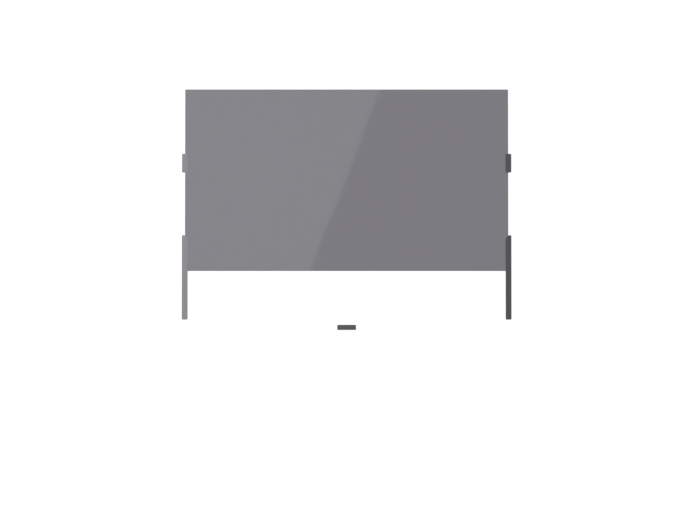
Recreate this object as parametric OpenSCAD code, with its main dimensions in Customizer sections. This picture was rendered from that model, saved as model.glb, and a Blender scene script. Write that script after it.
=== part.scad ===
// Laptop privacy filter: a thin smoke-grey film sheet that slides up and down under
// the lips of five stick-on guide tabs. Each tab is a flat plastic strip on a foam
// adhesive pad, and the pad is what lifts the strip's lip clear of the sheet.
// Everything lies on its back, adhesive side down. Sizes are in millimetres.
// +X is to the right, +Y is the way the sheet is drawn out and +Z is towards the viewer.
// The origin is the centre of the sheet's back face.

/* [Filter sheet] */
// Width of the sheet, along X
sheet_w = 345; // [150:1:600]
// Height of the sheet, along Y
sheet_h = 194; // [150:1:400]
// Thickness of the laminated film
sheet_t = 0.5; // [0.3:0.1:2]
// Radius of the sheet's corners
sheet_corner_r = 0.8; // [0.2:0.1:10]
// Height of the sheet above its seat on the bottom tab
sheet_raise = 61; // [0:1:120]

/* [Side tabs] */
// Width of a side tab, along X
side_tab_w = 6.1; // [5.6:0.1:20]
// Reach of a side tab's lip over the sheet
side_lip = 2.9; // [1:0.1:4]
// Length of an upper side tab, along Y
upper_tab_len = 20; // [8:0.5:60]
// Distance from the seated sheet's top edge down to the upper tabs
upper_tab_drop = 7.9; // [1:0.1:30]
// Length of a lower side tab, along Y
lower_tab_len = 90; // [20:1:100]
// Distance from the seated sheet's bottom edge up to the lower tabs
lower_tab_rise = 9.2; // [1:0.1:30]
// Radius of the lead-in corner, where the sheet enters a lower tab
lead_in_r = 5; // [1:0.1:20]

/* [Bottom tab] */
// Length of the bottom tab, along X
bottom_tab_len = 20; // [8:0.5:60]
// Width of the bottom tab, along Y
bottom_tab_w = 5.4; // [5:0.1:20]
// Reach of the bottom tab's lip over the seated sheet
bottom_lip = 3.6; // [1:0.1:4]

/* [Strips and pads] */
// Thickness of each tab's plastic strip
strip_t = 0.5; // [0.3:0.1:2]
// Radius of each strip's plain corners
strip_corner_r = 1; // [0.2:0.1:2.5]
// Distance of a pad from the outer edges of its strip
pad_inset = 0.3; // [0:0.1:0.6]
// Radius of each pad's corners
pad_corner_r = 0.6; // [0.2:0.1:2]

/* [Clearances] */
// Gap between the sheet's front and the lips over it
lip_gap = 0.3; // [0.1:0.1:1]
// Gap between the sheet's edges and the pads beside and below it
edge_gap = 0.3; // [0.1:0.1:0.6]

/* [Hidden] */
// Edge of the seated sheet that the bottom tab carries
seat_y = -sheet_h / 2 - sheet_raise;
// Height of a pad, which sets the slot that the sheet runs in
pad_t = sheet_t + lip_gap;
upper_tab_y = seat_y + sheet_h - upper_tab_drop - upper_tab_len;
lower_tab_y = seat_y + lower_tab_rise;
bottom_tab_y = seat_y + bottom_lip - bottom_tab_w;
side_pad_w = side_tab_w - side_lip - edge_gap - pad_inset;
bottom_pad_w = bottom_tab_w - bottom_lip - edge_gap - pad_inset;
// The lead-in takes what the plain corner beside it leaves of the strip's width
lead_r = min(lead_in_r, side_tab_w - strip_corner_r);
// How far a corner's cutter stands outside the outline that it rounds
cutter_margin = 1;
film_grey = [0.49, 0.49, 0.51, 0.85];
strip_grey = [0.34, 0.34, 0.35];
foam_grey = [0.16, 0.16, 0.17];
$fn = 64;

// What a corner at the origin, open to +X and +Y, loses when it is rounded
module corner_waste(r) {
    difference() {
        translate([-cutter_margin, -cutter_margin])
            square(r + cutter_margin);
        translate([r, r])
            circle(r);
    }
}

// Plate from the origin, with corner radii that run anticlockwise from the origin
module plate(w, h, t, radii) {
    corners = [[0, 0], [w, 0], [w, h], [0, h]];
    linear_extrude(t)
        difference() {
            square([w, h]);
            for (i = [0 : 3])
                translate(corners[i])
                    rotate(90 * i)
                        corner_waste(radii[i]);
        }
}

// The film, one laminated piece
module filter_sheet() {
    r = sheet_corner_r;
    color(film_grey)
        translate([-sheet_w / 2, -sheet_h / 2, 0])
            plate(sheet_w, sheet_h, sheet_t, [r, r, r, r]);
}

// Strip of the right-hand side tab that starts at height y. Its lip points to -X,
// and its top inner corner has the radius that it is given.
module side_strip(y, len, inner_top_r) {
    r = strip_corner_r;
    color(strip_grey)
        translate([sheet_w / 2 - side_lip, y, pad_t])
            plate(side_tab_w, len, strip_t, [r, r, r, inner_top_r]);
}

// Adhesive pad under that strip, beside the sheet
module side_pad(y, len) {
    r = min(pad_corner_r, side_pad_w / 2);
    color(foam_grey)
        translate([sheet_w / 2 + edge_gap, y + pad_inset, 0])
            plate(side_pad_w, len - 2 * pad_inset, pad_t, [r, r, r, r]);
}

module tab_upper_right() {
    side_strip(upper_tab_y, upper_tab_len, strip_corner_r);
}

module tab_upper_left() {
    mirror([1, 0, 0])
        tab_upper_right();
}

module tab_lower_right() {
    side_strip(lower_tab_y, lower_tab_len, lead_r);
}

module tab_lower_left() {
    mirror([1, 0, 0])
        tab_lower_right();
}

module tab_bottom() {
    r = strip_corner_r;
    color(strip_grey)
        translate([-bottom_tab_len / 2, bottom_tab_y, pad_t])
            plate(bottom_tab_len, bottom_tab_w, strip_t, [r, r, r, r]);
}

module pad_upper_right() {
    side_pad(upper_tab_y, upper_tab_len);
}

module pad_upper_left() {
    mirror([1, 0, 0])
        pad_upper_right();
}

module pad_lower_right() {
    side_pad(lower_tab_y, lower_tab_len);
}

module pad_lower_left() {
    mirror([1, 0, 0])
        pad_lower_right();
}

// Pad of the bottom tab, whose upper edge is the sheet's seat
module pad_bottom() {
    r = min(pad_corner_r, bottom_pad_w / 2);
    color(foam_grey)
        translate([-bottom_tab_len / 2 + pad_inset, bottom_tab_y + pad_inset, 0])
            plate(bottom_tab_len - 2 * pad_inset, bottom_pad_w, pad_t, [r, r, r, r]);
}

filter_sheet();
tab_upper_left();
tab_upper_right();
tab_lower_left();
tab_lower_right();
tab_bottom();
pad_upper_left();
pad_upper_right();
pad_lower_left();
pad_lower_right();
pad_bottom();
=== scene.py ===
# %% [markdown]
# A laptop privacy filter is one thin sheet of smoke-grey louvre film and the flat stick-on
# tabs that it slides under. A tab is a plastic strip on a foam pad, and the strip's inner
# part, the lip, reaches over the edge of the film. The frame already holds the film, the
# strips and the pads at their true size, lying on their backs with +Z towards the viewer.
# So this lesson is about the rest: how edges, materials, light and a camera make three
# plain sheets of plastic look like what they are.

# %% Load the frame
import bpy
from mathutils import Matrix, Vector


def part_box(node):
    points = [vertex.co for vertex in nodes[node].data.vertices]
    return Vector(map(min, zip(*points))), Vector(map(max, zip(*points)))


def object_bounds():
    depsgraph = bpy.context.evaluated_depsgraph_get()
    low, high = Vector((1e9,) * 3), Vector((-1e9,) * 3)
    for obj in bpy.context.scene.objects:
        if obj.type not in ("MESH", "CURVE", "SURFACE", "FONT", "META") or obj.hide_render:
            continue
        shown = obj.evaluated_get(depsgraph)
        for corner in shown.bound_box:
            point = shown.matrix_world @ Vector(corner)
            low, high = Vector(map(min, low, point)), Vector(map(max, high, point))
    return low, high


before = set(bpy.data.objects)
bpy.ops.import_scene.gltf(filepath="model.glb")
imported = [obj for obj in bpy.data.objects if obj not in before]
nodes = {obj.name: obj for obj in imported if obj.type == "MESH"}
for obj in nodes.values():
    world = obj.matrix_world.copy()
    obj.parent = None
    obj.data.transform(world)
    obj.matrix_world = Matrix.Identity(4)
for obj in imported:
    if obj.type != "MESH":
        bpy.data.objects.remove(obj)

cad_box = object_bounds()
print("nodes in the frame:", sorted(nodes))

# %% The modules that the cells share
import math

import bpy
from mathutils import Matrix, Vector

scene = bpy.context.scene
scene.view_settings.view_transform = "Standard"
MM = 0.001
print("view transform:", scene.view_settings.view_transform)

# %% [markdown]
# The picture is taken by a long lens that looks almost straight down on the film. Where the
# camera goes follows from two things that the picture shows: how many pixels wide the film
# is, and at which pixel its middle lies. The film's true width then says how many
# millimetres a pixel is, and that and the lens give the camera's distance. The film looks a
# fraction of a pixel narrower at its top than at its foot, so its top is a little further
# away. One degree of tilt does that.

# %% Work out the scale of the picture
PICTURE_W = 700
PICTURE_H = 520
FILM_W_PX = 323.1
FILM_CENTRE_PX = (346.64, 180.16)

film_low, film_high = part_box("filter_sheet")
film_front = (film_low + film_high) / 2
film_front.z = film_high.z
pixel = (film_high.x - film_low.x) / FILM_W_PX
print(f"one pixel is {pixel / MM:.4f} mm on the film")

# %% Make the camera
LENS = 85.0
SENSOR_W = 36.0
TILT = math.radians(1.0)


def line_of_sight(px, py):
    """From the lens to what shows at a pixel of the picture, as far away as the film's middle."""
    seen = Vector((px - PICTURE_W / 2, PICTURE_H / 2 - py, -PICTURE_W * LENS / SENSOR_W))
    return Matrix.Rotation(TILT, 3, "X") @ (seen * pixel)


camera_data = bpy.data.cameras.new("long_lens")
camera_data.lens = LENS
camera_data.sensor_width = SENSOR_W
camera = bpy.data.objects.new("camera", camera_data)
scene.collection.objects.link(camera)
scene.camera = camera
camera.rotation_euler.x = TILT
camera.location = film_front - line_of_sight(*FILM_CENTRE_PX)
print("camera at", [round(v, 4) for v in camera.location])

# %% [markdown]
# The one thing that tells the eye that the film is glossy is the slanted edge across it,
# with a lighter grey to its left. It is the mirror image of a softbox. A flat mirror makes
# this easy to place: a line of sight bounces off the film and goes on upwards as steeply as
# it came down, so each end of the slanted edge can be followed up to the height of the lamp.
# The softbox is laid along the two points that this gives. It is large enough to be mirrored
# in every piece on that side of the edge, with a margin for the blurred mirror image in the
# satin strips.

# %% Follow a line of sight up to the lamp
LAMP_RISE = 0.9


def up_to_lamp(sight):
    """Where a line of sight arrives that bounces off the film, up to the lamp's height."""
    fall = camera.location.z - film_high.z
    return (camera.location + sight * ((fall + LAMP_RISE) / -sight.z)).xy


mirrored = up_to_lamp(film_front - camera.location)
print("the film's middle mirrors what is above", [round(v, 3) for v in mirrored])

# %% Lay the softbox along the mirrored edge
GLARE_TOP_PX = (380.1, 89.6)
GLARE_BOTTOM_PX = (310.6, 271.0)
LAMP_MARGIN = 0.16

edge_top = up_to_lamp(line_of_sight(*GLARE_TOP_PX))
edge_bottom = up_to_lamp(line_of_sight(*GLARE_BOTTOM_PX))
along = (edge_top - edge_bottom).normalized()
across = Vector((-along.y, along.x))

reaches = []
depths = []
for x in (cad_box[0].x, cad_box[1].x):
    for y in (cad_box[0].y, cad_box[1].y):
        corner = up_to_lamp(Vector((x, y, film_high.z)) - camera.location) - edge_bottom
        reaches.append(corner.dot(along))
        depths.append(corner.dot(across))
lamp_low = min(reaches) - LAMP_MARGIN
lamp_high = max(reaches) + LAMP_MARGIN
lamp_depth = max(depths) + LAMP_MARGIN
lamp_centre = edge_bottom + along * (lamp_low + lamp_high) / 2 + across * lamp_depth / 2
print(f"softbox {lamp_depth:.3f} by {lamp_high - lamp_low:.3f} m")

# %% Make the softbox
LAMP_RADIANCE = 2.0


def area_lamp(name, size_x, size_y, radiance):
    """Rectangular lamp that shines with the same radiance all over, whatever its size."""
    data = bpy.data.lights.new(name, "AREA")
    data.shape = "RECTANGLE"
    data.size = size_x
    data.size_y = size_y
    data.energy = radiance * math.pi * size_x * size_y
    lamp = bpy.data.objects.new(name, data)
    lamp.visible_camera = False
    scene.collection.objects.link(lamp)
    return lamp


softbox = area_lamp("softbox", lamp_depth, lamp_high - lamp_low, LAMP_RADIANCE)
softbox.location = (lamp_centre.x, lamp_centre.y, film_high.z + LAMP_RISE)
softbox.rotation_euler.z = math.atan2(along.y, along.x) - math.pi / 2
print(f"softbox turned {math.degrees(softbox.rotation_euler.z):.1f} degrees")

# %% [markdown]
# The film is as glossy from the side as from above. A second softbox stands low behind the
# film's far left corner, where no mirror line of the picture reaches it. Whoever looks at
# the film from the front right finds its edge mirrored there.

# %% Make the low softbox
LOW_PLACE = Vector((-1.75, 1.2, 0.85))
LOW_SIZE = 0.9
LOW_RADIANCE = 1.6

low_softbox = area_lamp("low_softbox", LOW_SIZE, LOW_SIZE, LOW_RADIANCE)
low_softbox.location = LOW_PLACE
low_softbox.rotation_mode = "QUATERNION"
low_softbox.rotation_quaternion = (film_front - LOW_PLACE).to_track_quat("-Z", "Y")
print("low softbox", round((film_front - LOW_PLACE).length, 3), "m from the film")

# %% [markdown]
# Materials are built from nodes. One helper turns a colour as a painter writes it into the
# linear numbers that light is added up in, and one adds a node with its settings and links.

# %% Helpers for colours and nodes


def linear(hex_colour):
    """Linear colour of an sRGB hex value such as #57565a."""
    channels = [int(hex_colour[i : i + 2], 16) / 255 for i in (1, 3, 5)]
    bent = [c / 12.92 if c <= 0.04045 else ((c + 0.055) / 1.055) ** 2.4 for c in channels]
    return (*bent, 1.0)


def add_node(tree, kind, settings=None, **sockets):
    """Adds a node and sets its inputs, each to a number, a colour or an output to link.

    An input goes by its name, with _ for a space, or by its number, as at0 or at1.
    """
    node = tree.nodes.new(kind)
    for name, value in (settings or {}).items():
        setattr(node, name, value)
    for name, value in sockets.items():
        key = int(name[2:]) if name.startswith("at") else name.replace("_", " ")
        if isinstance(value, bpy.types.NodeSocket):
            tree.links.new(value, node.inputs[key])
        else:
            node.inputs[key].default_value = value
    return node


def new_material(name):
    """An empty node material and its tree."""
    material = bpy.data.materials.new(name)
    material.use_nodes = True
    material.node_tree.nodes.clear()
    return material, material.node_tree


print("smoke grey is", [round(c, 3) for c in linear("#57565a")], "in linear light")

# %% [markdown]
# The world is a white room with a dim ceiling. A picture needs it white round the horizon,
# and darker overhead, because a sheet that lies flat mirrors the ceiling, and a white one
# would hide the softbox's edge. Only the rays that show something need that: the camera's
# own, mirrored ones and those through a clear body. All others get plain even light.

# %% Tell the rays that show something


def seen_rays(tree):
    """1 for camera, glossy and transmission rays, 0 for the rays that only carry light."""
    rays = add_node(tree, "ShaderNodeLightPath")
    seen = rays.outputs["Is Camera Ray"]
    for name in ("Is Glossy Ray", "Is Transmission Ray"):
        either = add_node(
            tree, "ShaderNodeMath", {"operation": "MAXIMUM"}, at0=seen, at1=rays.outputs[name]
        )
        seen = either.outputs[0]
    return seen


world = bpy.data.worlds.new("white_room")
scene.world = world
world.use_nodes = True
sky = world.node_tree
sky.nodes.clear()
shows = seen_rays(sky)
print("world:", world.name, "with", len(sky.nodes), "nodes that tell its rays apart")

# %% Light the world
AMBIENT = 0.57
WALL_TOP = 0.3
CEILING = 0.35

white = linear("#ffffff")
even = add_node(sky, "ShaderNodeBackground", Color=white, Strength=AMBIENT)
direction = add_node(sky, "ShaderNodeTexCoord")
rise = add_node(sky, "ShaderNodeSeparateXYZ", Vector=direction.outputs["Generated"])
shade = add_node(
    sky, "ShaderNodeMapRange", {"interpolation_type": "SMOOTHSTEP"},
    Value=rise.outputs["Z"], From_Min=WALL_TOP, From_Max=1.0, To_Min=1.0, To_Max=CEILING,
)
room = add_node(sky, "ShaderNodeBackground", Color=white, Strength=shade.outputs["Result"])
sky_mix = add_node(
    sky, "ShaderNodeMixShader", Fac=shows, at1=even.outputs[0], at2=room.outputs[0]
)
add_node(sky, "ShaderNodeOutputWorld", Surface=sky_mix.outputs[0])
print("even light at", AMBIENT, "of white")

# %% [markdown]
# The floor is white paper. It glows for the rays that show something, so that it looks white
# without more light on the object. Near the object it keeps a part of its ordinary matte
# shading, so that the thin shadows along the strips and the film still fall on it. Further
# out it is all glow, because the lamps light plain paper unevenly and would leave a grey
# corner in the picture. It lies a hair below the film, as two faces in one plane flicker.

# %% Mix the paper's glow and its matte shading
GLOW = 1.3
GLOW_SHARE = 0.6
SHADOWS_TO = 0.4
ALL_GLOW_FROM = 1.2

paper, tree = new_material("white studio paper")
place = add_node(tree, "ShaderNodeTexCoord")
far = add_node(tree, "ShaderNodeVectorMath", {"operation": "LENGTH"}, at0=place.outputs["Object"])
ring = add_node(
    tree, "ShaderNodeMapRange", Value=far.outputs["Value"],
    From_Min=SHADOWS_TO, From_Max=ALL_GLOW_FROM, To_Min=GLOW_SHARE, To_Max=1.0,
)
share = add_node(
    tree, "ShaderNodeMath", {"operation": "MULTIPLY"}, at0=seen_rays(tree), at1=ring.outputs["Result"]
)
matte = add_node(tree, "ShaderNodeBsdfDiffuse", Color=linear("#f4f4f4"))
glow = add_node(tree, "ShaderNodeEmission", Color=white, Strength=GLOW)
paper_mix = add_node(
    tree, "ShaderNodeMixShader", Fac=share.outputs[0], at1=matte.outputs[0], at2=glow.outputs[0]
)
add_node(tree, "ShaderNodeOutputMaterial", Surface=paper_mix.outputs[0])
print("paper:", paper.name)

# %% Lay the floor
FLOOR_SIZE = 8.0
FLOOR_DROP = 0.05 * MM

bpy.ops.mesh.primitive_plane_add(size=FLOOR_SIZE, location=(0, 0, -FLOOR_DROP))
floor = bpy.context.object
floor.name = "floor"
floor.data.materials.append(paper)
print("floor", FLOOR_SIZE, "m wide")

# %% [markdown]
# The film is louvre film: rows of tiny dark blinds, laminated between two clear sheets of
# polyester. Seen head on it is a neutral smoke grey that lets a fifth of the light through.
# Light crosses two faces of the sheet and must be dimmed only once, so the sheet is solid
# for rays that enter it and open to rays that leave it. The blinds run from the film's foot
# to its top. Real ones are 0.1 mm apart, too fine to show, so they are drawn 1.2 mm apart
# and very faint.

# %% Smoke-grey louvres, laminated in polyester
FILM_PASS = 0.205
LOUVRE_PITCH = 1.2 * MM
LOUVRE_DEPTH = 0.008
# A wave texture draws one band in this length at scale 1
WAVE_PERIOD = 2 * math.pi / 20

film, tree = new_material("smoke-grey louvre film")
place = add_node(tree, "ShaderNodeTexCoord").outputs["Object"]
blinds = add_node(tree, "ShaderNodeTexWave", Vector=place, Scale=WAVE_PERIOD / LOUVRE_PITCH)
solid = add_node(
    tree, "ShaderNodeMapRange", Value=blinds.outputs["Fac"],
    To_Min=1 - FILM_PASS - LOUVRE_DEPTH, To_Max=1 - FILM_PASS + LOUVRE_DEPTH,
)
leaving = add_node(tree, "ShaderNodeNewGeometry").outputs["Backfacing"]
entering = add_node(tree, "ShaderNodeMath", {"operation": "SUBTRACT"}, at0=1.0, at1=leaving)
alpha = add_node(
    tree, "ShaderNodeMath", {"operation": "MULTIPLY"},
    at0=solid.outputs["Result"], at1=entering.outputs[0],
)
print("film:", film.name, "lets through", FILM_PASS)

# %% [markdown]
# A clear hard coat makes both sides of the film glossy. A laminate is never quite flat, so a
# slow ripple of a twentieth of a millimetre bends what it mirrors. Polyester's IOR is about
# 1.6. It is lower here, because the picture's film mirrors little of its lamp.

# %% Glossy hard coat, with the laminate's ripple
RIPPLE_SIZE = 45.0 * MM
RIPPLE_HEIGHT = 0.05 * MM

wavy = add_node(tree, "ShaderNodeTexNoise", Vector=place, Scale=1 / RIPPLE_SIZE, Detail=0.0)
ripple = add_node(tree, "ShaderNodeBump", Height=wavy.outputs["Fac"], Distance=RIPPLE_HEIGHT)
film_shader = add_node(
    tree, "ShaderNodeBsdfPrincipled", Base_Color=linear("#383146"), Roughness=0.04, IOR=1.35,
    Alpha=alpha.outputs[0], Normal=ripple.outputs[0],
)
add_node(tree, "ShaderNodeOutputMaterial", Surface=film_shader.outputs[0])
print("hard coat: one ripple in", round(RIPPLE_SIZE / MM), "mm")

# %% [markdown]
# The strips are die-cut from satin polycarbonate, dyed dark grey. A satin sheet is rolled
# against a grained drum, which leaves pits of a few hundredths of a millimetre. They are
# too fine to show one by one and are drawn as grain of a quarter of a millimetre. The grain
# spreads the softbox's image, which is why the left strips look pale and the right ones
# dark. Polycarbonate's IOR is 1.58. It is raised to 1.87, because the picture's strips
# mirror more of their lamp than this softbox gives them at 1.58.

# %% Dark grey polycarbonate, satin
GRAIN_SIZE = 0.25 * MM
GRAIN_HEIGHT = 0.006 * MM

strip, tree = new_material("dark grey polycarbonate")
place = add_node(tree, "ShaderNodeTexCoord").outputs["Object"]
grain = add_node(tree, "ShaderNodeTexNoise", Vector=place, Scale=1 / GRAIN_SIZE, Detail=3.0)
tone = add_node(
    tree, "ShaderNodeMix", {"data_type": "RGBA"}, Factor=grain.outputs["Fac"],
    at6=linear("#4a484f"), at7=linear("#525057"),
)
pits = add_node(tree, "ShaderNodeBump", Height=grain.outputs["Fac"], Distance=GRAIN_HEIGHT)
strip_shader = add_node(
    tree, "ShaderNodeBsdfPrincipled", Base_Color=tone.outputs[2], Roughness=0.17, IOR=1.87,
    Normal=pits.outputs[0],
)
add_node(tree, "ShaderNodeOutputMaterial", Surface=strip_shader.outputs[0])
print("strips:", strip.name)

# %% [markdown]
# The pads are closed-cell foam tape, black right through. The cut through the foam opens
# its bubbles, a tenth to a fifth of a millimetre across, so the pads' sides look dry and
# dark and mirror almost nothing. Each opened bubble is painted darker at its bottom than
# at its rim, as painted shade in the hollow.

# %% Black closed-cell foam
CELL_SIZE = 0.15 * MM
CELL_HEIGHT = 0.03 * MM

foam, tree = new_material("black closed-cell foam")
place = add_node(tree, "ShaderNodeTexCoord").outputs["Object"]
cells = add_node(tree, "ShaderNodeTexVoronoi", Vector=place, Scale=1 / CELL_SIZE)
# Painted shade: the colour runs from near black at each bubble's bottom to dark grey at its rim,
# following the same cell distance as the bump
tone = add_node(
    tree, "ShaderNodeMix", {"data_type": "RGBA"}, Factor=cells.outputs["Distance"],
    at6=linear("#222224"), at7=linear("#3a3a3c"),
)
bubbles = add_node(tree, "ShaderNodeBump", Height=cells.outputs["Distance"], Distance=CELL_HEIGHT)
foam_shader = add_node(
    tree, "ShaderNodeBsdfPrincipled", Base_Color=tone.outputs[2], Roughness=0.9, IOR=1.45,
    Normal=bubbles.outputs[0],
)
add_node(tree, "ShaderNodeOutputMaterial", Surface=foam_shader.outputs[0])
print("pads:", foam.name)

# %% [markdown]
# A cut sheet never has a perfectly sharp edge. A bevel of a tenth of a millimetre catches a
# line of light round each strip. The frame's meshes are loose triangles, so a Weld modifier
# joins them before the Bevel looks for corners, and Weighted Normal keeps the flats flat.
# All three are modifiers, so the frame's own meshes stay as they are.

# %% Soften the cut edges
FILM_EDGE = 0.06 * MM
STRIP_EDGE = 0.1 * MM
EDGE_SEGMENTS = 2
CORNER_ANGLE = math.radians(40)
JOIN_WITHIN = 0.001 * MM


def soften(piece, width):
    """Rounds a piece's cut edges by a width."""
    weld = piece.modifiers.new("join_triangles", "WELD")
    weld.merge_threshold = JOIN_WITHIN
    bevel = piece.modifiers.new("cut_edge", "BEVEL")
    bevel.width = width
    bevel.segments = EDGE_SEGMENTS
    bevel.limit_method = "ANGLE"
    bevel.angle_limit = CORNER_ANGLE
    normals = piece.modifiers.new("flat_faces", "WEIGHTED_NORMAL")
    normals.keep_sharp = True


print("edges rounded by", round(FILM_EDGE / MM, 3), "and", round(STRIP_EDGE / MM, 3), "mm")

# %% [markdown]
# Every piece is already there, so each one only has to be told what it is made of. Its name
# says whether it is a strip, a pad or the film. The pads keep their sharp edges, because
# each one lies under a strip that hides them.

# %% Dress the pieces


def dress(piece, material):
    """Gives a node of the frame its material."""
    piece.data.materials.clear()
    piece.data.materials.append(material)


for name, piece in nodes.items():
    if name.startswith("tab_"):
        dress(piece, strip)
        soften(piece, STRIP_EDGE)
    elif name.startswith("pad_"):
        dress(piece, foam)
    else:
        dress(piece, film)
        soften(piece, FILM_EDGE)
    print(name, "is", piece.data.materials[0].name)
